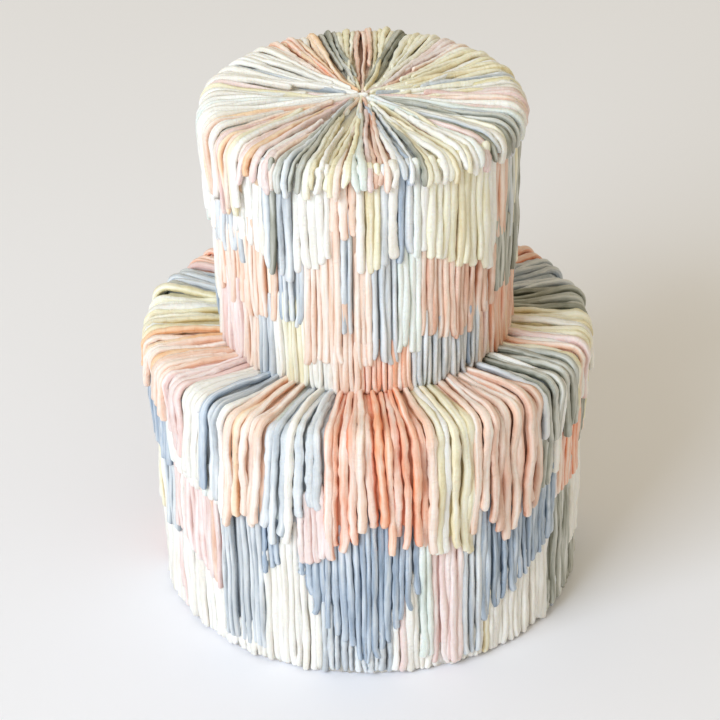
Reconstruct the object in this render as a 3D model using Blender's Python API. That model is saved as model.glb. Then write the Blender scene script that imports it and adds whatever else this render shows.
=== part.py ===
"""Wedding cake of two round tiers, iced all over in piped strands that hang like a fringe.

Each tier is one solid. Its strands are ridges fused to it: they run out from the middle of the top,
over the rim and down the side, where they end in ragged fringes that overlap like thatch.
Units are metres, +Z is up, and the origin is the middle of the underside. Angles are in degrees
round the cake: 0 is the front (-Y), and they grow towards +X.
"""

import math
import random

import bmesh
import bpy

# Driving sizes
CAKE_HEIGHT = 0.280
LOWER_HEIGHT = 0.152
LOWER_LIP_RADIUS = 0.1185
UPPER_LIP_RADIUS = 0.0834
STRAND_PITCH = 0.0040
STRAND_RELIEF = 0.0014
LOWER_RIM_ROUNDING = 0.008
UPPER_RIM_ROUNDING = 0.010
TIER_GAP = 0.0003

# The lower tier's layers of strands, by the radius of their crowns
LOWER_FOOT_RADIUS = LOWER_LIP_RADIUS - 0.0062
LOWER_MIDDLE_RADIUS = LOWER_LIP_RADIUS - 0.0045
LOWER_DRAPE_RADIUS = LOWER_LIP_RADIUS - 0.0015

# The upper tier's layers of strands
UPPER_FOOT_RADIUS = UPPER_LIP_RADIUS - 0.0064
UPPER_MIDDLE_RADIUS = UPPER_LIP_RADIUS - 0.0055
UPPER_HIGH_RADIUS = UPPER_LIP_RADIUS - 0.0044
UPPER_LIP_END = CAKE_HEIGHT - 0.017

# Bare icing on which the upper tier stands, and where the lower tier's strands begin round it
SEAT_DEPTH = 0.0035
SEAT_RADIUS = UPPER_FOOT_RADIUS + 0.0016
SEAT_SLOPE = 0.0008

# The upper tier's strands crowd towards the pole, so only some of them reach it
POLE_REACH = (0.004, 0.045, 0.020, 0.045)
TOP_RINGS = (0.048, 0.024, 0.007)
POLE_DIMPLE = 0.0020

# A fringe's end is this tall, and each strand's end is up to this much higher or lower
END_STEP = 0.0007
END_RAGGED = 0.0022
LAYER_CLEARANCE = 0.004

# Fringe ends as runs from one angle to the next: (first angle, height there, height at the run's end).
# They cover the front half, and the back half repeats them half a turn on.
HALF_TURN = 180.0
LOWER_DRAPE_ENDS = (
    (-90, 0.110, 0.118), (-66, 0.102, 0.098), (-49, 0.084, 0.089), (-31, 0.103, 0.098),
    (-14, 0.079, 0.090), (-3, 0.094, 0.098), (13, 0.080, 0.073), (31, 0.092, 0.072),
    (37, 0.074, 0.090), (50, 0.118, 0.112), (64, 0.124, 0.120),
)
LOWER_MIDDLE_ENDS = (
    (-90, 0.070, 0.076), (-66, 0.056, 0.036), (-44, 0.008, 0.008), (-28, 0.070, 0.068),
    (-19, 0.066, 0.030), (-12, 0.028, 0.016), (0, 0.016, 0.048), (13, 0.006, 0.008),
    (30, 0.024, 0.053), (58, 0.030, 0.034), (66, 0.074, 0.070),
)
UPPER_HIGH_ENDS = (
    (-90, 0.234, 0.238), (-50, 0.226, 0.226), (-36, 0.216, 0.216), (-28, 0.217, 0.238),
    (-12, 0.240, 0.240), (-2, 0.225, 0.225), (5, 0.235, 0.235), (19, 0.226, 0.222),
    (40, 0.218, 0.204), (56, 0.217, 0.218),
)
UPPER_MIDDLE_ENDS = (
    (-90, 0.186, 0.180), (-68, 0.214, 0.214), (-50, 0.184, 0.184), (-37, 0.186, 0.188),
    (-24, 0.168, 0.168), (-10, 0.186, 0.184), (-5, 0.166, 0.164), (10, 0.175, 0.176),
    (20, 0.178, 0.172), (40, 0.176, 0.182), (50, 0.190, 0.186),
)

RAGGED_SEED = 7
SHARP_ANGLE = math.radians(80)


def strand_count(radius):
    """Strands that fit side by side round a circle."""
    return round(2 * math.pi * radius / STRAND_PITCH)


def strand_angle(index, count):
    """A strand's angle in degrees, from -180 to 180."""
    return 360.0 * index / count - HALF_TURN


def fringe_end(runs, angle):
    """Height at which a layer's fringe ends at an angle, straight between the two ends of its run."""
    if not runs[0][0] <= angle < runs[0][0] + HALF_TURN:
        angle += HALF_TURN if angle < 0 else -HALF_TURN
    starts = [run[0] for run in runs] + [runs[0][0] + HALF_TURN]
    for (start, first, last), stop in zip(runs, starts[1:]):
        if angle < stop:
            return first + (last - first) * (angle - start) / (stop - start)
    return runs[-1][2]


def ragged_ends(runs, count, ceiling, ragged):
    """Each strand's own end: the fringe's height there, uneven, and clear under the layer above."""
    ends = []
    for index in range(count):
        height = fringe_end(runs, strand_angle(index, count)) + ragged.uniform(-END_RAGGED, END_RAGGED)
        ends.append(min(height, ceiling[index] - LAYER_CLEARANCE))
    return ends


def side_row(radius, heights):
    """A ring on a side: the crown of each strand as (radius, height), and the way that the side faces."""
    return [(radius, height) for height in heights], (1.0, 0.0)


def end_rows(radius_below, radius_above, ends):
    """The two rings between which a fringe ends and steps back to the layer below."""
    below = side_row(radius_below, [end - END_STEP / 2 for end in ends])
    above = side_row(radius_above, [end + END_STEP / 2 for end in ends])
    return [below, above]


def rim_rows(lip_radius, top, rounding, count):
    """Rings over a rounded rim, from its widest place to the flat of the top."""
    rows = []
    for turn in (0.0, math.pi / 4, math.pi / 2):
        facing = (math.cos(turn), math.sin(turn))
        radius = lip_radius - rounding + rounding * facing[0]
        height = top - rounding + rounding * facing[1]
        rows.append(([(radius, height)] * count, facing))
    return rows


def lower_rows(count, ragged):
    """Rings of the lower tier from its foot, up the side and over the rim to the upper tier's seat."""
    lip = [LOWER_HEIGHT - LOWER_RIM_ROUNDING] * count
    drape = ragged_ends(LOWER_DRAPE_ENDS, count, lip, ragged)
    middle = ragged_ends(LOWER_MIDDLE_ENDS, count, drape, ragged)
    seat = LOWER_HEIGHT - SEAT_DEPTH
    upward = (0.0, 1.0)
    rows = [side_row(LOWER_FOOT_RADIUS, [0.0] * count)]
    rows += end_rows(LOWER_FOOT_RADIUS, LOWER_MIDDLE_RADIUS, middle)
    rows += end_rows(LOWER_MIDDLE_RADIUS, LOWER_DRAPE_RADIUS, drape)
    rows += rim_rows(LOWER_LIP_RADIUS, LOWER_HEIGHT, LOWER_RIM_ROUNDING, count)
    rows.append(([(SEAT_RADIUS + SEAT_SLOPE, LOWER_HEIGHT)] * count, upward))
    rows.append(([(SEAT_RADIUS, seat)] * count, (0.0, 0.0)))
    return rows, seat


def top_row(radius, height, count):
    """A ring on the upper tier's top, where the strands that stop short of it leave room for the rest."""
    crowns = []
    for index in range(count):
        reaches = POLE_REACH[index % len(POLE_REACH)] <= radius
        crowns.append((radius, height if reaches else height - STRAND_RELIEF))
    return crowns, (0.0, 1.0)


def upper_rows(count, ragged):
    """Rings of the upper tier from its underside, up the side and over the rim to the pole."""
    foot = LOWER_HEIGHT - SEAT_DEPTH + TIER_GAP
    lip = ragged_ends(((-90, UPPER_LIP_END, UPPER_LIP_END),), count, [CAKE_HEIGHT] * count, ragged)
    high = ragged_ends(UPPER_HIGH_ENDS, count, lip, ragged)
    middle = ragged_ends(UPPER_MIDDLE_ENDS, count, high, ragged)
    rows = [side_row(UPPER_FOOT_RADIUS, [foot] * count)]
    rows += end_rows(UPPER_FOOT_RADIUS, UPPER_MIDDLE_RADIUS, middle)
    rows += end_rows(UPPER_MIDDLE_RADIUS, UPPER_HIGH_RADIUS, high)
    rows += end_rows(UPPER_HIGH_RADIUS, UPPER_LIP_RADIUS, lip)
    rows += rim_rows(UPPER_LIP_RADIUS, CAKE_HEIGHT, UPPER_RIM_ROUNDING, count)
    rows += [top_row(radius, CAKE_HEIGHT, count) for radius in TOP_RINGS]
    return rows, CAKE_HEIGHT - POLE_DIMPLE


def ring_points(row, count):
    """Points of one ring: a crown on each strand, and a groove between it and the next one."""
    crowns, facing = row
    points = []
    for index in range(count):
        angle = math.radians(strand_angle(index, count))
        following = crowns[(index + 1) % count]
        half_step = math.pi / count
        groove = tuple((a + b) / 2 - STRAND_RELIEF * f for a, b, f in zip(crowns[index], following, facing))
        for (radius, height), turn in ((crowns[index], angle), (groove, angle + half_step)):
            points.append((radius * math.sin(turn), -radius * math.cos(turn), height))
    return points


def make_tier(name, rows, middle_height, count, material):
    """One closed solid: a flat underside, rings joined one to the next, and a fan to the top's middle."""
    mesh_builder = bmesh.new()
    rings = [[mesh_builder.verts.new(point) for point in ring_points(row, count)] for row in rows]
    mesh_builder.faces.new(list(reversed(rings[0])))
    size = len(rings[0])
    for below, above in zip(rings, rings[1:]):
        for place in range(size):
            after = (place + 1) % size
            mesh_builder.faces.new((below[place], below[after], above[after], above[place]))
    middle = mesh_builder.verts.new((0.0, 0.0, middle_height))
    for place in range(size):
        mesh_builder.faces.new((rings[-1][place], rings[-1][(place + 1) % size], middle))
    bmesh.ops.triangulate(mesh_builder, faces=mesh_builder.faces[:])
    mesh = bpy.data.meshes.new(name)
    mesh_builder.to_mesh(mesh)
    mesh_builder.free()
    mesh.shade_smooth()
    mesh.set_sharp_from_angle(angle=SHARP_ANGLE)
    mesh.materials.append(material)
    tier = bpy.data.objects.new(name, mesh)
    bpy.context.scene.collection.objects.link(tier)
    return tier


def buttercream(name, colour):
    """Matt buttercream."""
    material = bpy.data.materials.new(name)
    material.use_nodes = True
    shader = material.node_tree.nodes["Principled BSDF"]
    shader.inputs["Base Color"].default_value = (*colour, 1.0)
    shader.inputs["Roughness"].default_value = 0.55
    shader.inputs["Metallic"].default_value = 0.0
    return material


def main():
    """Clears the scene and builds the two tiers."""
    for old in list(bpy.data.objects):
        bpy.data.objects.remove(old)
    ragged = random.Random(RAGGED_SEED)
    peach = buttercream("buttercream_peach", (0.90, 0.62, 0.46))
    ivory = buttercream("buttercream_ivory", (0.90, 0.85, 0.72))
    lower_count = strand_count(LOWER_FOOT_RADIUS)
    upper_count = strand_count(UPPER_FOOT_RADIUS)
    make_tier("lower_tier", *lower_rows(lower_count, ragged), lower_count, peach)
    make_tier("upper_tier", *upper_rows(upper_count, ragged), upper_count, ivory)


main()
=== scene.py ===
"""Looks of a wedding cake of two tiers, iced all over in piped buttercream strands that hang like a fringe.

Angles are in degrees round the cake: 0 is the front (-Y), and they grow towards +X. Heights are in metres.
A layer's fields are runs of strands of one colour. Each is (first angle, colour, height of strands' ends at
that angle, height at the next field's angle), and a colour of None leaves the run without strands.
"""

import math

import bpy
import numpy as np
from mathutils import Matrix, Vector


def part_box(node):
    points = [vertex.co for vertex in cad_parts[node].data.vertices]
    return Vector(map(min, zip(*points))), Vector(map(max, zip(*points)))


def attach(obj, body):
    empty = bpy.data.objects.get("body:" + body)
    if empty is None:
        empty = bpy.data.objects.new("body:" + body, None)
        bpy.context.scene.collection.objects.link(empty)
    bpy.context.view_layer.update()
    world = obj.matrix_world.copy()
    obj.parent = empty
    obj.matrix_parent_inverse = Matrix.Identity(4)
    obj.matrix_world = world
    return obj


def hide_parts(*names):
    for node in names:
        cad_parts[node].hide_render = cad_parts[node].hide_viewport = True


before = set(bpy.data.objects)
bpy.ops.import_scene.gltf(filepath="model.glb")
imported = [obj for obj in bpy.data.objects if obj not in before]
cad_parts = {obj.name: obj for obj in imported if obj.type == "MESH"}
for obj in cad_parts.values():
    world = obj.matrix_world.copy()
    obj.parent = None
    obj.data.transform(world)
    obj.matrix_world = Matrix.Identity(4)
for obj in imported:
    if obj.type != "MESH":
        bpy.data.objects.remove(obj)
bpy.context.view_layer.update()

bl_info = {
    "name": "Fringed wedding cake",
    "version": (1, 0, 0),
    "blender": (4, 5, 0),
    "location": "3D View > Sidebar > Cake",
    "description": "Two cake tiers iced in piped strands, on a pale floor in soft light",
    "category": "Add Mesh",
}

# Sizes that come from the solids
LOWER_LOW, LOWER_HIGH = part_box("lower_tier")
UPPER_LOW, UPPER_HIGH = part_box("upper_tier")
LOWER_LIP = LOWER_HIGH.x
LOWER_TOP = LOWER_HIGH.z
UPPER_LIP = UPPER_HIGH.y
UPPER_TOP = UPPER_HIGH.z
UPPER_FOOT = UPPER_LOW.z

# Angles: where the front and the back begin, and the span and widths of the back's random fields
FRONT_FROM = -90.0
BACK_FROM = 90.0
BACK_SPAN = 170.0
BACK_WIDTHS = (8.0, 20.0)
FULL_TURN = 360.0

# Crowns of each tier's layers, from the outermost to the innermost, by their radius
LOWER_CROWNS = LOWER_LIP - np.array((0.0015, 0.0029, 0.0045, 0.0062))
UPPER_CROWNS = UPPER_LIP - np.array((0.0, 0.0036, 0.0043, 0.0050, 0.0060))

# Outlines of the strands' crowns: inner radius, lip radius, top, rounding of the rim, taper of the side
SIDE_ROUNDING = 0.006
SIDE_TAPER = 0.008
LOWER_START = 0.0725
LOWER_SHAPE = (LOWER_START, LOWER_LIP, LOWER_TOP, 0.009, 0.030)
UPPER_SHAPE = (0.0, UPPER_LIP, UPPER_TOP, 0.011, 0.060)

# Strands: points round one, room under the lowest ends, the shortest one, and how far hidden starts overlap
SIDES = 10
FOOT_ROOM = (0.0002, 0.0012)
SHORTEST = 0.008
OVERLAP = 0.013
OVERLAP_SPREAD = 0.004

# Lengths over which strands wave, pile up, fold, change colour, flick at their ends, and lose the painted
# shade near their starts
OWN_WAVE = 0.0085
SHARED_WAVE = 0.014
PILE_WAVE = 0.008
FOLD_WAVE = 0.010
COLOUR_WAVE = 0.012
FLICK_LENGTH = 0.009
START_SHADE_LENGTH = 0.022
PHASES = 6.3

# Folds of a strand's cross-section: how many to the turn, and how deep as a share of its size
FOLDS = ((2, 0.08), (3, 0.08), (5, 0.06))

# Icing under the strands: rings, columns, columns to a ridge, depth as a share of a strand's, where it ends
# near the middle of the top, how far above a fringe's end its colour changes, and the ridges' least and most
CORE_RINGS = 48
CORE_COLUMNS = 480
COLUMNS_A_RIDGE = 3
CORE_DEPTH = 0.86
CORE_START = 0.004
CORE_TUCK = 0.008
RIDGE_HEIGHTS = (0.0004, 0.0011)
RIDGE_TINTS = (0.86, 1.06)

# What is added to the seed for each tier's random fields and for the ridges
LOWER_BACK_SEED = 40
UPPER_BACK_SEED = 60
RIDGE_SEED = 80

# Lower tier: the strands that run over the rim, and their back half, then the layers that show below them
LOWER_DRAPE = (
    (-90, "lemon", 0.130, 0.130), (-84, "peach", 0.132, 0.126), (-72, "peach", 0.126, 0.118),
    (-63, "blush", 0.118, 0.104), (-55, "ivory", 0.104, 0.099), (-52, "mist", 0.099, 0.096),
    (-40, "ivory", 0.086, 0.084), (-37, "peach", 0.088, 0.084), (-26, "mint", 0.086, 0.084),
    (-24, "mist", 0.080, 0.086), (-18, "mist", 0.099, 0.106), (-11, "coral", 0.076, 0.088),
    (-3, "coral", 0.094, 0.098), (4, "coral", 0.082, 0.086), (13, "apricot", 0.078, 0.074),
    (16, "lemon", 0.072, 0.068), (27, "peach", 0.078, 0.094), (31, "dusk", 0.090, 0.070),
    (37, "dusk", 0.072, 0.090), (49, "mist", 0.117, 0.113), (54, "sage", 0.112, 0.116),
    (69, "peach", 0.118, 0.120), (78, "lemon", 0.122, 0.118),
)
LOWER_DRAPE_BACK = (
    (90, "lemon", 0.120, 0.116), (93, "sage", 0.112, 0.102), (108, "mist", 0.096, 0.104),
    (124, "coral", 0.104, 0.090), (134, "ivory", 0.086, 0.092), (142, "peach", 0.094, 0.084),
    (158, "sage", 0.110, 0.098), (168, "lemon", 0.082, 0.076), (178, "coral", 0.092, 0.096),
    (192, "blush", 0.080, 0.088), (200, "mist", 0.100, 0.110), (216, "ivory", 0.092, 0.084),
    (224, "coral", 0.086, 0.098), (237, "mist", 0.104, 0.112), (251, "pistachio", 0.116, 0.122),
    (261, "lemon", 0.126, 0.130),
)
LOWER_SECOND = (
    (-90, "slate", 0.094, 0.092), (-66, "ivory", 0.096, 0.090), (-42, None, 0, 0),
    (-19, "blush", 0.069, 0.076), (-10, None, 0, 0), (48, "sage", 0.086, 0.092),
    (58, "coral", 0.074, 0.076), (72, "sage", 0.090, 0.094),
)
LOWER_THIRD = (
    (-90, "ivory", 0.052, 0.050), (-72, "mist", 0.048, 0.050), (-65, "blush", 0.058, 0.034),
    (-43, "mist", 0.008, 0.009), (-29.5, "slate", 0.056, 0.068), (-24, None, 0, 0),
    (-20, "slate", 0.069, 0.034), (-14, "slate", 0.034, 0.018), (-6, "slate", 0.012, 0.008),
    (0, "slate", 0.010, 0.024), (5, "slate", 0.024, 0.052), (12.5, "mint", 0.010, 0.010),
    (15, "blush", 0.003, 0.004), (24, "mist", 0.004, 0.006), (30, "slate", 0.023, 0.055),
    (57, "sage", 0.006, 0.008), (70, "ivory", 0.030, 0.030),
)
LOWER_FOOT = (
    (-90, "ivory", 0.001, 0.001), (-14, "mist", 0.001, 0.002), (6, "ivory", 0.001, 0.001),
    (56, "sage", 0.001, 0.001),
)

# Upper tier: the strands that run out over its top, and their back half, then the layers down its side
UPPER_CROWN = (
    (-90, "ivory", 0.217, 0.223), (-77, "peach", 0.240, 0.238), (-70, "ivory", 0.238, 0.236),
    (-65, "peach", 0.236, 0.240), (-54, "apricot", 0.242, 0.244), (-50, "coral", 0.262, 0.262),
    (-46, "apricot", 0.264, 0.262), (-41, "peach", 0.263, 0.263), (-33, "mist", 0.264, 0.263),
    (-26, "sage", 0.264, 0.264), (-20, "lemon", 0.265, 0.265), (-12, "apricot", 0.263, 0.264),
    (-4, "ivory", 0.264, 0.268), (3, "dusk", 0.268, 0.268), (12, "mist", 0.268, 0.270),
    (22, "lemon", 0.266, 0.264), (33, "apricot", 0.264, 0.266), (41, "ivory", 0.263, 0.263),
    (50, "mist", 0.264, 0.264), (55, "sage", 0.264, 0.262), (73, "ivory", 0.262, 0.264),
    (82, "peach", 0.264, 0.264),
)
UPPER_CROWN_BACK = (
    (90, "ivory", 0.264, 0.264), (100, "pistachio", 0.264, 0.264), (106, "mist", 0.264, 0.264),
    (110, "lemon", 0.264, 0.264), (124, "pistachio", 0.264, 0.262), (134, "blush", 0.262, 0.264),
    (146, "pistachio", 0.264, 0.264), (156, "pistachio", 0.264, 0.264), (161, "sage", 0.264, 0.264),
    (165, "lemon", 0.264, 0.264), (174, "dusk", 0.264, 0.264), (183, "pistachio", 0.264, 0.264),
    (189, "sage", 0.264, 0.264), (198, "apricot", 0.262, 0.264), (207, "coral", 0.262, 0.264),
    (214, "peach", 0.262, 0.264), (222, "ivory", 0.264, 0.264), (238, "mist", 0.264, 0.262),
    (242, "ivory", 0.262, 0.246), (256, "ivory", 0.232, 0.218),
)
UPPER_SECOND = (
    (-90, "peach", 0.236, 0.236), (-56, "ivory", 0.228, 0.222), (-38, "mist", 0.216, 0.210),
    (-28, "ivory", 0.214, 0.226), (-13, "peach", 0.241, 0.241), (-3.5, "lemon", 0.217, 0.221),
    (7, "mist", 0.226, 0.227), (10.5, "slate", 0.227, 0.228), (14.5, "mist", 0.228, 0.228),
    (19, "mint", 0.228, 0.226), (24, "pistachio", 0.226, 0.207), (50, "ivory", 0.206, 0.204),
    (57, "dusk", 0.216, 0.218), (66, "sage", 0.214, 0.212),
)
UPPER_THIRD = (
    (-90, "mist", 0.212, 0.214), (-50, None, 0, 0), (57, "sage", 0.190, 0.186),
    (84, "mist", 0.188, 0.186),
)
UPPER_FOURTH = (
    (-90, "ivory", 0.174, 0.172), (-80, "peach", 0.188, 0.184), (-47, "peach", 0.184, 0.188),
    (-35, "mist", 0.187, 0.186), (-23, "peach", 0.166, 0.164), (-10, "mist", 0.187, 0.185),
    (-4.5, "peach", 0.167, 0.165), (2.5, "mist", 0.168, 0.164), (12.5, "mint", 0.176, 0.170),
    (21, "dusk", 0.182, 0.172), (38, "dusk", 0.172, 0.186), (56, None, 0, 0),
    (84, "sage", 0.188, 0.186),
)
UPPER_FOOT_FIELDS = (
    (-90, "ivory", 0.149, 0.149), (-80, "blush", 0.149, 0.149), (-57, "peach", 0.149, 0.149),
    (-46, "mist", 0.149, 0.150), (-37, "ivory", 0.150, 0.150), (-33, "lemon", 0.150, 0.150),
    (-23, "ivory", 0.150, 0.149), (-14, "peach", 0.151, 0.149), (-3, "coral", 0.149, 0.149),
    (17, "mist", 0.150, 0.151), (48, "coral", 0.150, 0.149),
)

# Layers under each tier's outermost one, with the heights between which their random fields end at the back
LOWER_LAYERS = ((LOWER_SECOND, 0.070, 0.098), (LOWER_THIRD, 0.010, 0.062), (LOWER_FOOT, 0.0005, 0.0015))
UPPER_LAYERS = (
    (UPPER_SECOND, 0.204, 0.240), (UPPER_THIRD, 0.184, 0.214), (UPPER_FOURTH, 0.160, 0.190),
    (UPPER_FOOT_FIELDS, 0.1490, 0.1500),
)


def tone(name, description, colour):
    """A colour property, in the values that a colour picker shows."""
    return bpy.props.FloatVectorProperty(
        name=name, description=description, default=colour, subtype="COLOR_GAMMA", size=3, min=0.0, max=1.0
    )


def setting(name, description, default, **limits):
    """A number property."""
    return bpy.props.FloatProperty(name=name, description=description, default=default, **limits)


# Light and deep tone of each buttercream, in the values that a colour picker shows; the deep one also
# colours the painted shade in grooves and under the strands
BUTTERCREAMS = {
    "ivory": ((0.970, 0.964, 0.948), (0.950, 0.934, 0.905)),
    "lemon": ((0.970, 0.955, 0.870), (0.910, 0.860, 0.735)),
    "pistachio": ((0.975, 0.968, 0.918), (0.925, 0.892, 0.765)),
    "mint": ((0.950, 0.965, 0.950), (0.865, 0.895, 0.875)),
    "peach": ((0.975, 0.910, 0.868), (0.953, 0.840, 0.768)),
    "apricot": ((0.980, 0.900, 0.810), (0.940, 0.785, 0.640)),
    "coral": ((0.972, 0.858, 0.805), (0.958, 0.715, 0.575)),
    "blush": ((0.960, 0.900, 0.890), (0.920, 0.815, 0.795)),
    "dusk": ((0.955, 0.860, 0.805), (0.885, 0.735, 0.655)),
    "mist": ((0.885, 0.902, 0.918), (0.745, 0.770, 0.795)),
    "slate": ((0.757, 0.803, 0.858), (0.622, 0.678, 0.740)),
    "sage": ((0.820, 0.825, 0.800), (0.610, 0.612, 0.560)),
}
COLOUR_NAMES = tuple(BUTTERCREAMS)
BACK_COLOURS = ("ivory", "lemon", "mint", "peach", "coral", "blush", "dusk", "mist", "slate", "sage")
COOL_COLOURS = ("mist", "slate", "sage")
PALE_COLOURS = ("ivory", "mint", "blush", "pistachio")

# Colours of the odd strands in each colour's fields, in the order of COLOUR_NAMES
COMPANIONS = (
    ("blush", "lemon", "mint"), ("ivory", "pistachio", "ivory"), ("ivory", "lemon", "ivory"),
    ("ivory", "mist", "ivory"), ("apricot", "ivory", "blush"), ("peach", "ivory", "lemon"),
    ("peach", "blush", "apricot"), ("ivory", "peach", "dusk"), ("peach", "blush", "ivory"),
    ("ivory", "slate", "sage"), ("slate", "mist", "slate"), ("mist", "ivory", "pistachio"),
)
COMPANION_NUMBERS = np.array([[COLOUR_NAMES.index(each) for each in row] for row in COMPANIONS])


class CakeColours(bpy.types.PropertyGroup):
    """The two tones of each buttercream, between which its strands vary."""

    __annotations__ = {
        name + ending: tone(name.capitalize() + kind, f"Buttercream colour: {name}{kind}", colour)
        for name, pair in BUTTERCREAMS.items()
        for ending, kind, colour in zip(("", "_deep"), ("", ", deep"), pair)
    }


class CakeStrands(bpy.types.PropertyGroup):
    """Sizes of the piped strands."""

    depth: setting(
        "Depth", "How thick a strand is, square to the icing under it", 0.0038, min=0.001, unit="LENGTH"
    )
    cover: setting(
        "Cover", "A strand's width as a share of the room it has beside its neighbours",
        1.04, min=0.5, max=1.5, subtype="FACTOR",
    )
    raggedness: setting(
        "Raggedness", "How far a strand's end may lie above or below its fringe's line",
        0.0045, min=0.0, unit="LENGTH",
    )
    sway: setting("Sway", "How far a strand bends to either side", 0.0006, min=0.0, unit="LENGTH")
    seed: bpy.props.IntProperty(
        name="Seed", description="Picks another set of random bends, ends and tints", default=11, min=0
    )


class CakeStage(bpy.types.PropertyGroup):
    """The camera and the light."""

    lens: setting(
        "Lens", "Focal length on a square sensor 36 mm wide", 140.0, min=10.0, subtype="DISTANCE_CAMERA"
    )
    distance: setting(
        "Distance", "From the camera to the middle of the picture", 1.4855, min=0.5, unit="LENGTH"
    )
    elevation: setting(
        "Elevation", "How steeply the camera looks down", math.radians(30.67), subtype="ANGLE"
    )
    roll: setting("Roll", "How far the camera leans to one side", math.radians(-1.22), subtype="ANGLE")
    floor: tone("Floor", "Colour of the floor", (0.962, 0.966, 1.0))
    key: setting("Key light", "Power of the large soft light at the front left", 73.0, min=0.0, unit="POWER")
    surround: setting("Surround", "Strength of the even light from all round", 0.62, min=0.0)


# Camera's aim and the width of its sensor
AIM = Vector((-0.0038, 0.0, 0.1251))
SENSOR_WIDTH = 36.0

# Floor, key light and surround
FLOOR_REACH = 4.0
FLOOR_SHIFT = 1.0
FLOOR_HEIGHT = -0.0003
KEY_PLACE = (-1.68, -1.96, 1.72)
KEY_AIM = (0.0, 0.0, 0.15)
KEY_SIZE = 1.7
KEY_COLOUR = (0.765, 0.877, 1.0)
SURROUND_COLOUR = (1.0, 0.897, 0.685, 1.0)


def linear(colour):
    """Linear light of a picked colour: the usual display curve, undone."""
    picked = np.asarray(colour, dtype=float)
    return np.where(picked <= 0.04045, picked / 12.92, ((picked + 0.055) / 1.055) ** 2.4)


def tones(colours):
    """Linear light and deep tones of every buttercream, as two tables in the order of COLOUR_NAMES."""
    light = np.array([linear(getattr(colours, name)) for name in COLOUR_NAMES])
    deep = np.array([linear(getattr(colours, f"{name}_deep")) for name in COLOUR_NAMES])
    return light, deep


def back_fields(rng, low, high):
    """Fields of random width and colour across the back, with ends between two heights."""
    fields = []
    angle = BACK_FROM
    last = None
    while angle < BACK_FROM + BACK_SPAN:
        colour = BACK_COLOURS[rng.integers(len(BACK_COLOURS))]
        if colour == last:
            continue
        first_end, last_end = rng.uniform(low, high, 2)
        fields.append((angle, colour, first_end, last_end))
        angle += rng.uniform(*BACK_WIDTHS)
        last = colour
    return fields


class Fringe:
    """One layer's fields all the way round."""

    def __init__(self, front, back):
        fields = list(front) + list(back)
        self.starts = np.array([field[0] for field in fields], dtype=float)
        self.stops = np.append(self.starts[1:], FRONT_FROM + FULL_TURN)
        self.colours = np.array([COLOUR_NAMES.index(f[1]) if f[1] else -1 for f in fields])
        self.first_ends = np.array([field[2] for field in fields])
        self.last_ends = np.array([field[3] for field in fields])

    def at(self, angle):
        """Colour number and end height at each angle, the height straight between a field's two ends."""
        turned = (angle - FRONT_FROM) % FULL_TURN + FRONT_FROM
        field = np.searchsorted(self.starts, turned, side="right") - 1
        share = (turned - self.starts[field]) / (self.stops[field] - self.starts[field])
        ends = self.first_ends[field] + share * (self.last_ends[field] - self.first_ends[field])
        return self.colours[field], ends


def outline(along, inner, lip, top, rounding, taper):
    """Radius, height and tilt of a tier's outline at a distance along it from its inner radius.

    Radius grows with the distance as far as the rim, follows a quarter circle there, and then shrinks by the
    taper on the way straight down. The tilt is 0 on the top, and a quarter turn on the side.
    """
    flat = lip - rounding - inner
    tilt = np.clip((along - flat) / rounding, 0.0, math.pi / 2)
    down = np.maximum(along - flat - rounding * math.pi / 2, 0.0)
    radius = inner + np.minimum(along, flat) + rounding * np.sin(tilt) - taper * down
    height = top - rounding * (1.0 - np.cos(tilt)) - down
    return radius, height, tilt


def along_at(height, inner, lip, top, rounding):
    """The distance along the outline at which its side reaches a height."""
    return lip - rounding - inner + rounding * math.pi / 2 + top - rounding - height


def stations(start, end, cap_start, cap_end, count):
    """Distances at which each strand has a ring, from tip to tip, and how wide it is there as a share.

    Near each tip the rings follow a rounded end: the share is the sine, and the distance from the tip is one
    less the cosine, of angles up to a quarter turn. Between the two ends the rings are evenly spaced.
    """
    turns = np.radians([0.0, 30.0, 60.0, 90.0])
    rise = 1.0 - np.cos(turns)
    first = start[:, None] + cap_start[:, None] * rise
    last = (end[:, None] - cap_end[:, None] * rise)[:, ::-1]
    step = np.linspace(0.0, 1.0, count - 2 * len(turns) + 2)[1:-1]
    middle = first[:, -1:] + (last[:, :1] - first[:, -1:]) * step
    share = np.concatenate([np.sin(turns), np.ones(len(step)), np.sin(turns)[::-1]])
    return np.concatenate([first, middle, last], axis=1), share


def uneven(rng, shape):
    """Random values that change smoothly from ring to ring: normal ones, blended with their neighbours."""
    values = rng.normal(0.0, 1.0, shape)
    before = np.concatenate([values[:, :1], values[:, :-1]], axis=1)
    after = np.concatenate([values[:, 1:], values[:, -1:]], axis=1)
    return 0.75 * values + 0.35 * (before + after)


def waves(rng, along, angle, amount):
    """Bends to either side: a slow wave of a strand's own, one that its neighbours share, and small kinks.

    Both waves are sines of the distance along the strand. The shared one's phase swings to and fro five
    times on the way round the cake.
    """
    count = len(angle)
    size = rng.uniform(0.2, 1.0, (count, 1))
    own = size * np.sin(along / OWN_WAVE + rng.uniform(0.0, 2.0 * math.pi, (count, 1)))
    shared = np.sin(along / SHARED_WAVE + 3.0 * np.sin(np.radians(angle) * 5.0)[:, None])
    return amount * (0.5 * own + 0.7 * shared + 0.2 * uneven(rng, along.shape))


def signed_power(values, power):
    """Values to a power, with their signs kept."""
    return np.sign(values) * np.abs(values) ** power


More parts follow.
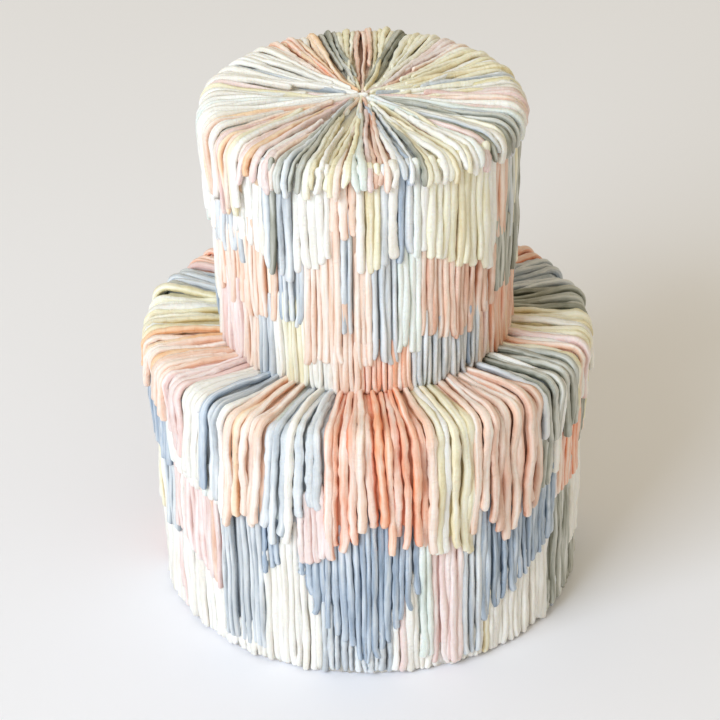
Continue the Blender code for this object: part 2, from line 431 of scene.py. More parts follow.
def section(rng, along, square):
    """Cross-sections of strands: across (wide) and away from the icing (deep), 1 at an even ellipse.

    Cosine and sine of the turn to a power, which squares the ellipse off below 1. Times that goes one plus
    waves of 2, 3 and 5 to the turn, whose phases drift along the strand like a worn nozzle's creases.
    """
    count = len(along)
    turn = np.arange(SIDES) * 2.0 * math.pi / SIDES
    drift = np.sin(along / FOLD_WAVE + rng.uniform(0.0, PHASES, (count, 1)))[:, :, None]
    factor = 1.0
    for folds, amount in FOLDS:
        phase = rng.uniform(0.0, PHASES, (count, 1, 1))
        phase = phase + rng.uniform(-1.3, 1.3, (count, 1, 1)) * drift
        factor = factor + amount * np.cos(folds * turn + phase)
    return signed_power(np.cos(turn), square) * factor, signed_power(np.sin(turn), square) * factor


def alike(values):
    """Values that neighbouring strands nearly share: each one blended twice with those on either side."""
    for _ in range(2):
        values = 0.5 * values + 0.25 * (np.roll(values, 1, axis=0) + np.roll(values, -1, axis=0))
    return values


def unit(vectors):
    """Each vector at length 1."""
    return vectors / np.linalg.norm(vectors, axis=-1, keepdims=True)


def new_piece(name, points, quads, triangles, colours, piping, material):
    """A mesh piece with smooth faces, a colour at each point and each point's place in its strand."""
    mesh = bpy.data.meshes.new(name)
    corners = np.concatenate([quads.ravel(), triangles.ravel()])
    starts = np.concatenate([4 * np.arange(len(quads)), 4 * len(quads) + 3 * np.arange(len(triangles))])
    mesh.vertices.add(len(points))
    mesh.vertices.foreach_set("co", points.astype(np.float32).ravel())
    mesh.loops.add(len(corners))
    mesh.loops.foreach_set("vertex_index", corners.astype(np.int32))
    mesh.polygons.add(len(starts))
    mesh.polygons.foreach_set("loop_start", starts.astype(np.int32))
    mesh.update(calc_edges=True)
    if mesh.validate():
        raise RuntimeError(f"{name} has faces that can't be built")
    mesh.shade_smooth()
    opaque = np.hstack([colours, np.ones((len(points), 1))])
    tint = mesh.attributes.new("icing_colour", "FLOAT_COLOR", "POINT")
    tint.data.foreach_set("color", opaque.astype(np.float32).ravel())
    place = mesh.attributes.new("piping", "FLOAT_VECTOR", "POINT")
    place.data.foreach_set("vector", piping.astype(np.float32).ravel())
    mesh.materials.append(material)
    piece = bpy.data.objects.new(name, mesh)
    bpy.context.scene.collection.objects.link(piece)
    return piece


def sweep(spine, facing, wide, deep):
    """Closed strands: sections carried along each spine, with a point at either tip.

    A ring's point is the spine's point, plus its width across it, plus its depth away from the icing.
    """
    count, total = spine.shape[:2]
    rings = total - 2
    along = unit(np.gradient(spine, axis=1))
    across = unit(np.cross(along, facing))
    away = np.cross(across, along)
    ring_points = spine[:, 1:-1, None] + wide[..., None] * across[:, 1:-1, None]
    ring_points = ring_points + deep[..., None] * away[:, 1:-1, None]
    points = np.concatenate([ring_points.reshape(count, -1, 3), spine[:, :1], spine[:, -1:]], axis=1)
    each = rings * SIDES + 2
    base = (np.arange(count) * each)[:, None, None]
    here = base + np.arange(rings)[:, None] * SIDES + np.arange(SIDES)
    beside = np.roll(here, -1, axis=2)
    quads = np.stack([here[:, :-1], here[:, 1:], beside[:, 1:], beside[:, :-1]], axis=-1)
    first_tip = np.broadcast_to(base[:, 0] + rings * SIDES, (count, SIDES))
    first = np.stack([first_tip, here[:, 0], beside[:, 0]], axis=-1)
    last = np.stack([first_tip + 1, beside[:, -1], here[:, -1]], axis=-1)
    triangles = np.concatenate([first.reshape(-1, 3), last.reshape(-1, 3)])
    return points, quads.reshape(-1, 4), triangles


def by_kind(colour, pale, cool, warm):
    """One of three values for each strand, by whether its colour is a pale, a cool or a warm one."""
    values = dict.fromkeys(PALE_COLOURS, pale) | dict.fromkeys(COOL_COLOURS, cool)
    return np.array([values.get(name, warm) for name in COLOUR_NAMES])[colour]


def paint(rng, colour, along, deep_tone_and_start_shade, shaded):
    """Colours of the strands' points: pale on the crowns, and painted shade, deep and richer, down in the
    grooves.

    Along a strand the colour drifts between its buttercream's two tones, and painted shade deepens it near
    the start where the layer asks for it. Round it, painted shade for the grooves: the deep tone to a power
    above 1 takes over with one less the sine of the turn, which is 0 on the crown and 1 at the side.
    """
    light, deep = tones(bpy.context.scene.cake_colours)
    drift = 0.16 * np.sin(along / COLOUR_WAVE + rng.uniform(0.0, PHASES, (len(colour), 1)))
    drift = drift + 0.10 * uneven(rng, along.shape)
    mix = np.clip(deep_tone_and_start_shade + drift, 0.0, 1.2)[..., None]
    shade = light[colour][:, None] * (1.0 - mix) + deep[colour][:, None] * mix
    shade = np.clip(shade, 0.02, 0.97) * rng.uniform(0.96, 1.03, (len(colour), 1, 1))
    turn = np.arange(SIDES) * 2.0 * math.pi / SIDES
    # Painted shade: towards a strand's flanks and underside, its colour turns to the deep tone, made richer,
    # as shade in the grooves
    flank_shade = (1.0 - np.clip(np.sin(turn), 0.0, 1.0))[:, None] ** 1.25 * shaded
    power = by_kind(colour, pale=1.1, cool=1.4, warm=1.65)
    painted_gap_colour = deep[colour][:, None, None] ** power[:, None, None, None]
    ring_shade = shade[:, 1:-1, None] * (1.0 - flank_shade) + painted_gap_colour * flank_shade
    tip_shade = shade[:, [0, -1]]
    return np.concatenate([ring_shade.reshape(len(colour), -1, 3), tip_shade], axis=1).reshape(-1, 3)


def no_lift(rng, angle, start, along, radius):
    """Strands that all lie flat on the icing."""
    return 0.0


def no_drift(angle):
    """Strands that lean to neither side on the whole."""
    return 0.0 * angle


# A layer's usual values, which it may change: thickness as a share of the depth that is set, power of the
# section, how deep the painted shade makes the strands' tone near their starts, how much painted shade
# darkens their grooves, where along the outline they begin to lean (None for their own starts), and how they
# lift and lean from place to place
USUAL_LAYER = {
    "thickness": 1.0,
    "square": 0.95,
    "painted_start_shade": 0.0,
    "shaded": 0.95,
    "lean_from": None,
    "lift": no_lift,
    "drift": no_drift,
}


def lay_out(rng, fringe, layer, starts):
    """Each strand's angle, colour number, and start and end along the outline.

    They are spread round the cake and end at their fields' heights, each a little astray. Those in a field
    without strands are left out, and so are those too short to pipe.
    """
    settings = bpy.context.scene.cake_strands
    count = layer["count"]
    sizes = layer["outline"][:4]
    stray = rng.uniform(-layer["jitter"], layer["jitter"], count)
    angle = FRONT_FROM + FULL_TURN / count * (np.arange(count) + stray)
    colour, ends = fringe.at(angle)
    odd = rng.uniform(0.0, 1.0, count) < layer["mixed"]
    start = starts(angle, rng)
    end = along_at(ends + layer["ragged"] * settings.raggedness * rng.normal(0.0, 0.6, count), *sizes)
    end = np.minimum(end, along_at(layer["floor"] + rng.uniform(*FOOT_ROOM, count), *sizes))
    keep = (colour >= 0) & (end - start > SHORTEST)
    colour = np.where(odd, COMPANION_NUMBERS[colour, rng.integers(0, 3, count)], colour)
    return angle[keep], colour[keep], start[keep], end[keep]


def half_sizes(rng, layer, colour, share, room, depth):
    """Half the width and half the depth of each strand at its rings.

    The width is the room beside its neighbours times its cover, within limits set by the depth. Both shrink
    with the share at the tips, and swell and pinch unevenly along the strand.
    """
    count = len(colour)
    cover = bpy.context.scene.cake_strands.cover * by_kind(colour, pale=1.12, cool=0.94, warm=1.04)[:, None]
    cover = cover * rng.uniform(0.80, 1.15, (count, 1))
    half_width = 0.5 * np.clip(room * cover, 0.62 * depth, 1.35 * depth)
    half_width = half_width * share * (1.0 + layer["pinch"] * uneven(rng, room.shape))
    half_depth = 0.5 * depth * share * rng.uniform(0.88, 1.12, (count, 1))
    half_depth = half_depth * (1.0 + 0.6 * layer["pinch"] * uneven(rng, room.shape))
    return half_width, half_depth


def lifted(rng, layer, angle, start, along, radius, depth):
    """How far strands' middles lie above the outline: unevenly half a depth below, plus a layer's lift."""
    count = len(angle)
    lift = rng.normal(0.0, layer["pile"], (count, 1)) - 0.5 * depth
    lift = lift + layer["pile"] * np.sin(along / PILE_WAVE + rng.uniform(0.0, PHASES, (count, 1)))
    return lift + layer["lift"](rng, angle, start[:, None], along, radius)


def strayed(rng, layer, angle, start, end, along, radius):
    """How far the strands' middles lie to one side: their lean and waves, and a flick at the end.

    The lean grows with the distance from where it begins, and is nearly shared by neighbours. Lean and waves
    shrink towards the middle of the top, where there is no room for them.
    """
    count = len(angle)
    near_end = np.clip(1.0 - (end[:, None] - along) / FLICK_LENGTH, 0.0, 1.0)
    flick = rng.normal(0.0, 0.0010, (count, 1)) * near_end ** 2
    lean = alike(rng.normal(0.0, layer["lean"], (count, 1)))
    lean = lean + rng.normal(0.0, 0.3 * layer["lean"], (count, 1))
    lean = lean + layer["drift"](angle)[:, None]
    lean_from = start[:, None] if layer["lean_from"] is None else layer["lean_from"]
    side = waves(rng, along, angle, layer["sway"] * bpy.context.scene.cake_strands.sway)
    side = side + lean * (along - lean_from)
    return side * np.clip(radius / 0.02, 0.1, 1.0) + flick


def piping_places(rng, along, wide, deep):
    """Each point's place in its strand: across it, away from the icing, and along it from anywhere."""
    along = along + rng.uniform(0.0, 9.0, (len(along), 1))
    ring_along = np.broadcast_to(along[:, 1:-1, None], wide.shape)
    ring_place = np.stack([wide, deep, ring_along], axis=-1).reshape(len(along), -1, 3)
    tip_along = along[:, [0, -1]]
    tip_place = np.stack([0.0 * tip_along, 0.0 * tip_along, tip_along], axis=-1)
    return np.concatenate([ring_place, tip_place], axis=1).reshape(-1, 3)


def strand_layer(name, seed, fringe, values, starts):
    """One layer of strands, each from its start along the outline to the end that its field gives it.

    A strand's spine follows the outline at the strand's angle, lifted square to it and moved to one side.
    The values give the outline, the strands, their rings, the lowest height and how far strands stray.
    """
    rng = generator(seed)
    layer = USUAL_LAYER | values
    depth = bpy.context.scene.cake_strands.depth * layer["thickness"]
    angle, colour, start, end = lay_out(rng, fringe, layer, starts)
    count = len(angle)
    cap_end = depth * rng.uniform(0.2, layer["tip"], count)
    along, share = stations(start, end, np.full(count, 0.5 * depth), cap_end, layer["rings"])
    share = share ** rng.uniform(0.35, 1.1, (count, 1))
    radius, height, tilt = outline(along, *layer["outline"])
    room = radius * math.radians(FULL_TURN / layer["count"])
    half_width, half_depth = half_sizes(rng, layer, colour, share, room, depth)
    lift = lifted(rng, layer, angle, start, along, radius, depth)
    side = strayed(rng, layer, angle, start, end, along, radius)
    outward = radius + lift * np.sin(tilt)
    turn = np.radians(angle)[:, None]
    spine = np.stack([
        outward * np.sin(turn) + side * np.cos(turn),
        -outward * np.cos(turn) + side * np.sin(turn),
        height + lift * np.cos(tilt),
    ], axis=-1)
    facing = np.stack([np.sin(tilt) * np.sin(turn), -np.sin(tilt) * np.cos(turn), np.cos(tilt)], axis=-1)
    wide, deep = section(rng, along, layer["square"])
    wide = (wide * half_width[..., None])[:, 1:-1]
    deep = (deep * half_depth[..., None])[:, 1:-1]
    points, quads, triangles = sweep(spine, facing, wide, deep)
    # Painted shade: a strand's colour is deepened near its start, on top of its own random share of the deep
    # tone
    start_shade_mix = layer["painted_start_shade"] * np.exp(-(along - along.min()) / START_SHADE_LENGTH)
    deep_tone_and_start_shade = 0.7 * rng.beta(0.5, 0.9, (count, 1)) + start_shade_mix
    colours = paint(rng, colour, along, deep_tone_and_start_shade, layer["shaded"])
    piping = piping_places(rng, along, wide, deep)
    material = icing("piped_buttercream")
    return new_piece(name, points.reshape(-1, 3), quads, triangles, colours, piping, material)


def revolve(name, radius, height, colours, material):
    """A closed solid of rings, with a point at each end. Radius and height are tables of ring by angle."""
    rings, count = radius.shape
    turn = np.radians(FRONT_FROM + FULL_TURN * np.arange(count) / count)
    ring_points = np.stack([radius * np.sin(turn), -radius * np.cos(turn), height], axis=-1)
    ends = np.array([[0.0, 0.0, height[0].mean()], [0.0, 0.0, height[-1].mean()]])
    points = np.concatenate([ring_points.reshape(-1, 3), ends])
    here = np.arange(rings)[:, None] * count + np.arange(count)
    beside = np.roll(here, -1, axis=1)
    quads = np.stack([here[:-1], beside[:-1], beside[1:], here[1:]], axis=-1).reshape(-1, 4)
    bottom = np.stack([np.full(count, rings * count), beside[0], here[0]], axis=-1)
    top = np.stack([np.full(count, rings * count + 1), here[-1], beside[-1]], axis=-1)
    all_colours = np.concatenate([colours.reshape(-1, 3), colours[[0, -1]].mean(axis=1)])
    return new_piece(name, points, quads, np.concatenate([bottom, top]), all_colours, points, material)


def core(name, tier, crowns, shape, foot):
    """The icing under the strands: their layers' outline less a depth, in each field's colour darkened as
    painted shade.

    Where a layer has ended, the surface is the next one's. Its colour there is that field's middle tone,
    partly squared, which paints the shade seen in the grooves between strands, and paler towards the middle
    of the top. Every third column stands out as an uneven ridge, so that it reads as strands lower down.
    """
    lip = shape[1]
    count = CORE_COLUMNS
    depth = bpy.context.scene.cake_strands.depth * CORE_DEPTH
    angle = FRONT_FROM + FULL_TURN * np.arange(count) / count
    length = along_at(foot, *shape[:4])
    along = np.linspace(length, CORE_START, CORE_RINGS)[:, None] * np.ones(count)
    radius, height, tilt = outline(along, *shape)
    inset = np.zeros_like(radius)
    number = np.full(radius.shape, -1)
    for fringe, crown in zip(fringes(tier), crowns):
        colour, ends = fringe.at(angle)
        shows = (number < 0) & (colour >= 0) & (height > ends + CORE_TUCK)
        number = np.where(shows, colour, number)
        inset = np.where(shows, lip - crown, inset)
    bare = number < 0
    number = np.where(bare, COLOUR_NAMES.index("ivory"), number)
    inset = np.where(bare, lip - crowns[-1], inset)
    rng = generator(RIDGE_SEED)
    is_ridge = np.arange(count) % COLUMNS_A_RIDGE == 0
    inset = inset * np.sin(tilt) + depth - np.where(is_ridge, rng.uniform(*RIDGE_HEIGHTS, count), 0.0)
    light, deep = tones(bpy.context.scene.cake_colours)
    tint = np.repeat(rng.uniform(*RIDGE_TINTS, count // COLUMNS_A_RIDGE), COLUMNS_A_RIDGE)[:, None]
    tinted = 0.5 * (light[number] + deep[number]) * tint
    pale = np.interp(radius, (0.006, 0.04, 0.09), (0.6, 0.35, 0.0))[..., None]
    # Painted shade: the tinted middle tone is partly squared to darken it, and gives way to a dim ivory
    # towards the middle of the top
    colours = (0.3 * tinted + 0.7 * tinted ** 2.0) * (1.0 - pale) + 0.75 * pale * light[0]
    radius = radius - inset * np.sin(tilt)
    height = np.maximum(height - inset * np.cos(tilt), foot)
    return revolve(name, radius, height, colours, icing("crumb_coat", streaks=0.2, relief=0.0003))


def node(tree, kind, **values):
    """A node with its properties, and with its inputs' values, by their names with underscores for blanks.

    An input whose value is another node's output is linked to it.
    """
    made = tree.nodes.new(kind)
    for name, value in values.items():
        if hasattr(made, name):
            setattr(made, name, value)
        elif isinstance(value, bpy.types.NodeSocket):
            tree.links.new(value, made.inputs[name.replace("_", " ")])
        else:
            made.inputs[name.replace("_", " ")].default_value = value
    return made


def sum_of(tree, first, factor, addend):
    """An output times a factor, plus another output or a number."""
    made = node(tree, "ShaderNodeMath", operation="MULTIPLY_ADD")
    for place, value in enumerate((first, factor, addend)):
        if isinstance(value, bpy.types.NodeSocket):
            tree.links.new(value, made.inputs[place])
        else:
            made.inputs[place].default_value = value
    return made.outputs[0]


def stretched_noise(tree, place, scales, **values):
    """Noise whose grain is finer the larger the scale is, across, away from and along a strand."""
    stretched = node(tree, "ShaderNodeVectorMath", operation="MULTIPLY")
    stretched.inputs[1].default_value = scales
    tree.links.new(place, stretched.inputs[0])
    noise = node(tree, "ShaderNodeTexNoise", Vector=stretched.outputs[0], Scale=1.0, **values)
    return noise.outputs["Fac"]


def marbling_group():
    """Marbling of piped buttercream: streaks that run along a strand, cross wrinkles, and small pits."""
    group = bpy.data.node_groups.new("icing_marbling", "ShaderNodeTree")
    for name, direction, kind in (
        ("Colour", "INPUT", "Color"), ("Place", "INPUT", "Vector"), ("Streaks", "INPUT", "Float"),
        ("Colour", "OUTPUT", "Color"), ("Roughness", "OUTPUT", "Float"), ("Height", "OUTPUT", "Float"),
    ):
        group.interface.new_socket(name=name, in_out=direction, socket_type=f"NodeSocket{kind}")
    given = group.nodes.new("NodeGroupInput").outputs
    streaks = stretched_noise(group, given["Place"], (420.0, 420.0, 22.0), Detail=3.0, Roughness=0.6)
    wrinkles = stretched_noise(group, given["Place"], (260.0, 260.0, 620.0), Detail=4.0, Roughness=0.62)
    pits = node(group, "ShaderNodeTexVoronoi", Vector=given["Place"], Scale=900.0, Randomness=1.0)
    pit_depth = node(group, "ShaderNodeMapRange", Value=pits.outputs["Distance"], From_Max=0.22)
    spread = node(
        group, "ShaderNodeMapRange", Value=streaks, From_Min=0.32, From_Max=0.68, To_Min=-1.0, To_Max=1.0
    )
    power = sum_of(group, spread.outputs["Result"], given["Streaks"], 1.0)
    deepened = node(group, "ShaderNodeGamma", Color=given["Colour"], Gamma=power)
    rough = node(group, "ShaderNodeMapRange", Value=wrinkles, To_Min=0.44, To_Max=0.66)
    grooves = sum_of(group, streaks, 0.9, wrinkles)
    pitted = sum_of(group, pit_depth.outputs["Result"], 0.35, grooves)
    result = group.nodes.new("NodeGroupOutput").inputs
    group.links.new(deepened.outputs["Color"], result["Colour"])
    group.links.new(rough.outputs["Result"], result["Roughness"])
    group.links.new(pitted, result["Height"])
    return group


def buttercream(name, streaks, relief):
    """Soft matt buttercream in the piece's own colours, with marbling in its colour and its surface."""
    material = bpy.data.materials.new(name)
    material.use_nodes = True
    tree = material.node_tree
    shader = tree.nodes["Principled BSDF"]
    shader.inputs["Subsurface Weight"].default_value = 0.15
    shader.inputs["Subsurface Radius"].default_value = (1.0, 0.72, 0.5)
    shader.inputs["Subsurface Scale"].default_value = 0.0022
    shader.inputs["Specular IOR Level"].default_value = 0.32
    tint = node(tree, "ShaderNodeAttribute", attribute_name="icing_colour").outputs["Color"]
    place = node(tree, "ShaderNodeAttribute", attribute_name="piping").outputs["Vector"]
    group = bpy.data.node_groups.get("icing_marbling") or marbling_group()
    marbling = node(tree, "ShaderNodeGroup", node_tree=group, Colour=tint, Place=place, Streaks=streaks)
    bump = node(tree, "ShaderNodeBump", Strength=0.55, Distance=relief, Height=marbling.outputs["Height"])
    tree.links.new(marbling.outputs["Colour"], shader.inputs["Base Color"])
    tree.links.new(marbling.outputs["Roughness"], shader.inputs["Roughness"])
    tree.links.new(bump.outputs["Normal"], shader.inputs["Normal"])
    return material


def icing(name, streaks=0.6, relief=0.0014):
    """The named buttercream, made the first time that it is asked for."""
    return bpy.data.materials.get(name) or buttercream(name, streaks, relief)


def generator(offset):
    """Random numbers of a layer's own, the same on each run."""
    return np.random.default_rng(bpy.context.scene.cake_strands.seed + offset)


# Values of the layers that show only on a tier's side
SIDE_LAYER = {"jitter": 0.13, "pile": 0.0005, "sway": 0.5, "lean": 0.014, "tip": 0.9}
LOWER_SIDE = SIDE_LAYER | {"floor": 0.0, "ragged": 0.25, "pinch": 0.12}
UPPER_SIDE = SIDE_LAYER | {"floor": UPPER_FOOT, "ragged": 0.6, "pinch": 0.08}


def fringes(tier):
    """The layers of a tier from the outermost to the innermost, the inner ones' backs drawn at random."""
    if tier == "lower":
        layers, inner, offset = [Fringe(LOWER_DRAPE, LOWER_DRAPE_BACK)], LOWER_LAYERS, LOWER_BACK_SEED
    else:
        layers, inner, offset = [Fringe(UPPER_CROWN, UPPER_CROWN_BACK)], UPPER_LAYERS, UPPER_BACK_SEED
    for number, (front, low, high) in enumerate(inner):
        layers.append(Fringe(front, back_fields(generator(offset + number), low, high)))
    return layers


def covered_start(above, shape):
    """Starts of a side layer's strands, out of sight under the layers above it."""
    def starts(angle, rng):
        ends = np.full(len(angle), np.inf)
        for fringe in above:
            colour, height = fringe.at(angle)
            ends = np.where(colour >= 0, np.minimum(ends, height), ends)
        return along_at(ends + OVERLAP + rng.uniform(0.0, OVERLAP_SPREAD, len(angle)), *shape[:4])
    return starts


def side_layer(name, tier, number, seed, slot, **values):
    """A layer of strands that shows only on a tier's side, numbered from the outermost one inwards."""
    is_lower = tier == "lower"
    layers = fringes(tier)
    crown = (LOWER_CROWNS if is_lower else UPPER_CROWNS)[number]
    shape = (0.0, crown, LOWER_TOP if is_lower else UPPER_TOP, SIDE_ROUNDING, SIDE_TAPER)
    layer = (LOWER_SIDE if is_lower else UPPER_SIDE) | {"outline": shape} | values
    starts = covered_start(layers[:number], shape)
    piece = strand_layer(name, seed, layers[number], layer, starts)
    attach(piece, "root")
    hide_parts(f"{tier}_tier")
    return piece


class CAKE_OT_lower_core(bpy.types.Operator):
    """Adds the icing under the lower tier's strands"""

    bl_idname = "cake.lower_core"
    bl_label = "Lower core"

    def execute(self, context):
        shape = (0.0,) + LOWER_SHAPE[1:4] + (SIDE_TAPER,)
        piece = core("lower_core", "lower", LOWER_CROWNS, shape, 0.0)
        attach(piece, "root")
        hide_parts("lower_tier")
        return {"FINISHED"}


class CAKE_OT_upper_core(bpy.types.Operator):
    """Adds the icing under the upper tier's strands"""

    bl_idname = "cake.upper_core"
    bl_label = "Upper core"

    def execute(self, context):
        shape = UPPER_SHAPE[:4] + (SIDE_TAPER,)
        piece = core("upper_core", "upper", UPPER_CROWNS, shape, UPPER_FOOT)
        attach(piece, "root")
        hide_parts("upper_tier")
        return {"FINISHED"}


def crowded(rng, angle, start, along, radius):
    """Every other strand lies lower where they crowd round the upper tier."""
    order = np.where(np.arange(len(along)) % 2, 0.0003, -0.0011)[:, None]
    return order * np.clip(1.0 - along / 0.030, 0.0, 1.0)


def piled(rng, angle, start, along, radius):
    """Strands' inner tips lie on top of their neighbours, and the strands swell at the back of the rim."""
    rise = rng.uniform(0.0, 0.0018, (len(along), 1)) - 0.0004
    back = np.clip(-np.cos(np.radians(angle)), 0.0, 1.0)[:, None]
    swell = 0.0024 * back * np.clip((radius - 0.03) / 0.04, 0.0, 1.0)
    return rise * np.exp(-(along - start) / 0.016) + swell


def drape_drift(angle):
    """The lower drape's strands lean left at the front's left, and a little right at its right."""
    return np.interp(angle, (-70, -35, 0, 35, 70), (-0.05, -0.09, -0.01, 0.03, 0.0))


def drape_starts(angle, rng):
    """The lower drape's strands start round the upper tier's foot."""
    return rng.uniform(0.0, 0.0015, len(angle))


# The drape's painted shade: its strands are deeper in tone near their starts at the upper tier's foot, and
# in their grooves
DRAPE_LAYER = {
    "outline": LOWER_SHAPE, "count": 168, "rings": 52, "floor": 0.0, "jitter": 0.24, "mixed": 0.24,
    "ragged": 1.0, "pinch": 0.11, "tip": 0.65, "pile": 0.0009, "sway": 1.1, "lean": 0.034, "square": 0.82,
    "lean_from": 0.045, "painted_start_shade": 0.36, "shaded": 0.86, "lift": crowded, "drift": drape_drift,
}


def crown_starts(angle, rng):
    """The crown's strands start at different distances from the middle of the top, where few have room.

    A strand's distance grows with its number's six binary digits read backwards, which parts neighbours.
    """
    spread = np.array([int(f"{n % 64:06b}"[::-1], 2) / 64.0 for n in range(len(angle))])
    return 0.040 * spread ** 1.1 - 0.0035 + rng.uniform(0.0, 0.004, len(angle))


# The crown's painted shade: its strands are a little deeper in tone near their starts, and a lighter painted
# shade lies in their grooves
CROWN_LAYER = {
    "outline": UPPER_SHAPE, "count": 150, "rings": 52, "floor": UPPER_FOOT, "jitter": 0.35, "mixed": 0.32,
    "ragged": 0.9, "pinch": 0.10, "tip": 1.7, "pile": 0.0006, "sway": 1.6, "lean": 0.075, "square": 0.88,
    "lean_from": 0.075, "painted_start_shade": 0.12, "shaded": 0.6, "thickness": 0.85, "lift": piled,
}


class CAKE_OT_lower_drape(bpy.types.Operator):
    """Adds the strands that run out over the lower tier's rim and hang down its side"""

    bl_idname = "cake.lower_drape"
    bl_label = "Lower drape"

    def execute(self, context):
        piece = strand_layer("lower_drape", 1, fringes("lower")[0], DRAPE_LAYER, drape_starts)
        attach(piece, "root")
        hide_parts("lower_tier")
        return {"FINISHED"}


class CAKE_OT_lower_side(bpy.types.Operator):
    """Adds the layers of strands under the lower tier's drape, down to its foot"""

    bl_idname = "cake.lower_side"
    bl_label = "Lower side"

    def execute(self, context):
        side_layer("lower_second", "lower", 1, 2, "lower_icing", count=196, rings=24, mixed=0.12)
        side_layer("lower_third", "lower", 2, 3, "lower_icing", count=206, rings=32, mixed=0.05)
        side_layer("lower_foot", "lower", 3, 4, "lower_icing", count=206, rings=26, mixed=0.06)
        return {"FINISHED"}


class CAKE_OT_upper_crown(bpy.types.Operator):
    """Adds the strands that run out from the middle of the top and hang over the upper rim"""

    bl_idname = "cake.upper_crown"
    bl_label = "Upper crown"

    def execute(self, context):
        piece = strand_layer("upper_crown", 5, fringes("upper")[0], CROWN_LAYER, crown_starts)
        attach(piece, "root")
        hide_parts("upper_tier")
        return {"FINISHED"}


class CAKE_OT_upper_side(bpy.types.Operator):
    """Adds the layers of strands under the upper tier's rim, down to its foot"""

    bl_idname = "cake.upper_side"
    bl_label = "Upper side"

    def execute(self, context):
        # The upper second layer has less painted shade in its grooves than usual
        side_layer(
            "upper_second", "upper", 1, 6, "upper_icing", count=122, rings=28, mixed=0.18, shaded=0.8
        )
        side_layer("upper_third", "upper", 2, 7, "upper_icing", count=142, rings=20, mixed=0.15)
        side_layer("upper_fourth", "upper", 3, 8, "upper_icing", count=154, rings=26, mixed=0.10)
        # The upper foot layer has still less painted shade in its grooves
        side_layer("upper_foot", "upper", 4, 9, "upper_icing", count=176, rings=20, mixed=0.10, shaded=0.55)
        return {"FINISHED"}


def plain_material(name, colour, roughness):
    """A matt material with a faint unevenness."""
    material = bpy.data.materials.new(name)
    material.use_nodes = True
    tree = material.node_tree
    shader = tree.nodes["Principled BSDF"]
    shader.inputs["Roughness"].default_value = roughness
    shader.inputs["Specular IOR Level"].default_value = 0.2
    place = node(tree, "ShaderNodeTexCoord").outputs["Object"]
    noise = node(tree, "ShaderNodeTexNoise", Vector=place, Scale=3.0, Detail=2.0)
    ramp = node(tree, "ShaderNodeValToRGB", Fac=noise.outputs["Fac"])
    ramp.color_ramp.elements[0].color = (*(0.97 * linear(colour)), 1.0)
    ramp.color_ramp.elements[1].color = (*linear(colour), 1.0)
    tree.links.new(ramp.outputs["Color"], shader.inputs["Base Color"])
    return material


def key_light(power):
    """The large soft light at the front left, which faces the cake."""
    data = bpy.data.lights.new("key", "AREA")
    data.size = KEY_SIZE
    data.energy = power
    data.color = KEY_COLOUR
    light = bpy.data.objects.new("key", data)
    light.location = KEY_PLACE
    light.rotation_euler = (Vector(KEY_AIM) - Vector(KEY_PLACE)).to_track_quat("-Z", "Y").to_euler()
    bpy.context.scene.collection.objects.link(light)
    return light


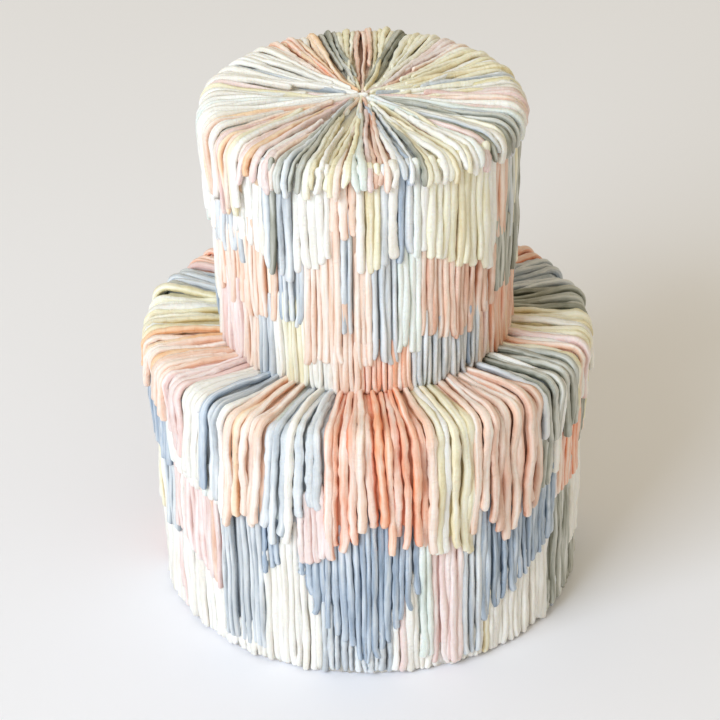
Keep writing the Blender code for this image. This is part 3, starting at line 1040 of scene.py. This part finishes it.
class CAKE_OT_stage(bpy.types.Operator):
    """Adds the floor, the lights and the camera"""

    bl_idname = "cake.stage"
    bl_label = "Stage"

    def execute(self, context):
        settings = context.scene.cake_stage
        spread = np.linspace(-FLOOR_REACH, FLOOR_REACH, 9)
        across, deep = np.meshgrid(spread, spread + FLOOR_SHIFT)
        points = np.stack([across, deep, np.full_like(across, FLOOR_HEIGHT)], axis=-1).reshape(-1, 3)
        here = np.arange(len(spread) ** 2).reshape(len(spread), -1)
        quads = np.stack([here[:-1, :-1], here[:-1, 1:], here[1:, 1:], here[1:, :-1]], axis=-1)
        quads = quads.reshape(-1, 4)
        mesh = bpy.data.meshes.new("floor")
        mesh.from_pydata(points.tolist(), [], quads.tolist())
        mesh.materials.append(plain_material("pale_floor", settings.floor, 0.7))
        floor = bpy.data.objects.new("floor", mesh)
        context.scene.collection.objects.link(floor)

        world = bpy.data.worlds.new("studio")
        world.use_nodes = True
        background = world.node_tree.nodes["Background"]
        background.inputs["Color"].default_value = SURROUND_COLOUR
        background.inputs["Strength"].default_value = settings.surround
        context.scene.world = world
        key_light(settings.key)

        back = Vector((0.0, -math.cos(settings.elevation), math.sin(settings.elevation)))
        right = Vector((1.0, 0.0, 0.0))
        up = back.cross(right)
        leaning_right = math.cos(settings.roll) * right + math.sin(settings.roll) * up
        leaning_up = math.cos(settings.roll) * up - math.sin(settings.roll) * right
        turned = Matrix((leaning_right, leaning_up, back)).transposed()
        data = bpy.data.cameras.new("camera")
        data.sensor_width = SENSOR_WIDTH
        data.lens = settings.lens
        camera = bpy.data.objects.new("camera", data)
        camera.matrix_world = Matrix.Translation(AIM + settings.distance * back) @ turned.to_4x4()
        context.scene.collection.objects.link(camera)
        context.scene.camera = camera
        context.scene.view_settings.view_transform = "Standard"
        return {"FINISHED"}


GROUPS = {"cake_strands": CakeStrands, "cake_colours": CakeColours, "cake_stage": CakeStage}
OPERATORS = (
    CAKE_OT_lower_core, CAKE_OT_upper_core, CAKE_OT_lower_drape, CAKE_OT_lower_side,
    CAKE_OT_upper_crown, CAKE_OT_upper_side, CAKE_OT_stage,
)


class CAKE_PT_panel(bpy.types.Panel):
    """Sizes, colours and steps of the cake"""

    bl_idname = "CAKE_PT_panel"
    bl_label = "Cake"
    bl_space_type = "VIEW_3D"
    bl_region_type = "UI"
    bl_category = "Cake"

    def draw(self, context):
        for group in GROUPS:
            settings = getattr(context.scene, group)
            box = self.layout.box()
            for name in settings.bl_rna.properties.keys():
                if name not in ("rna_type", "name"):
                    box.prop(settings, name)
        for operator in OPERATORS:
            self.layout.operator(operator.bl_idname)


CLASSES = (*GROUPS.values(), *OPERATORS, CAKE_PT_panel)


def register():
    """Registers the classes and puts their settings on the scene."""
    for each in CLASSES:
        bpy.utils.register_class(each)
    for name, group in GROUPS.items():
        setattr(bpy.types.Scene, name, bpy.props.PointerProperty(type=group))


def unregister():
    """Takes the settings off the scene and unregisters the classes."""
    for name in GROUPS:
        delattr(bpy.types.Scene, name)
    for each in reversed(CLASSES):
        bpy.utils.unregister_class(each)


def main():
    """Makes every piece and the stage."""
    register()
    bpy.ops.cake.lower_core()
    bpy.ops.cake.upper_core()
    bpy.ops.cake.lower_drape()
    bpy.ops.cake.lower_side()
    bpy.ops.cake.upper_crown()
    bpy.ops.cake.upper_side()
    bpy.ops.cake.stage()


if __name__ == "__main__":
    main()
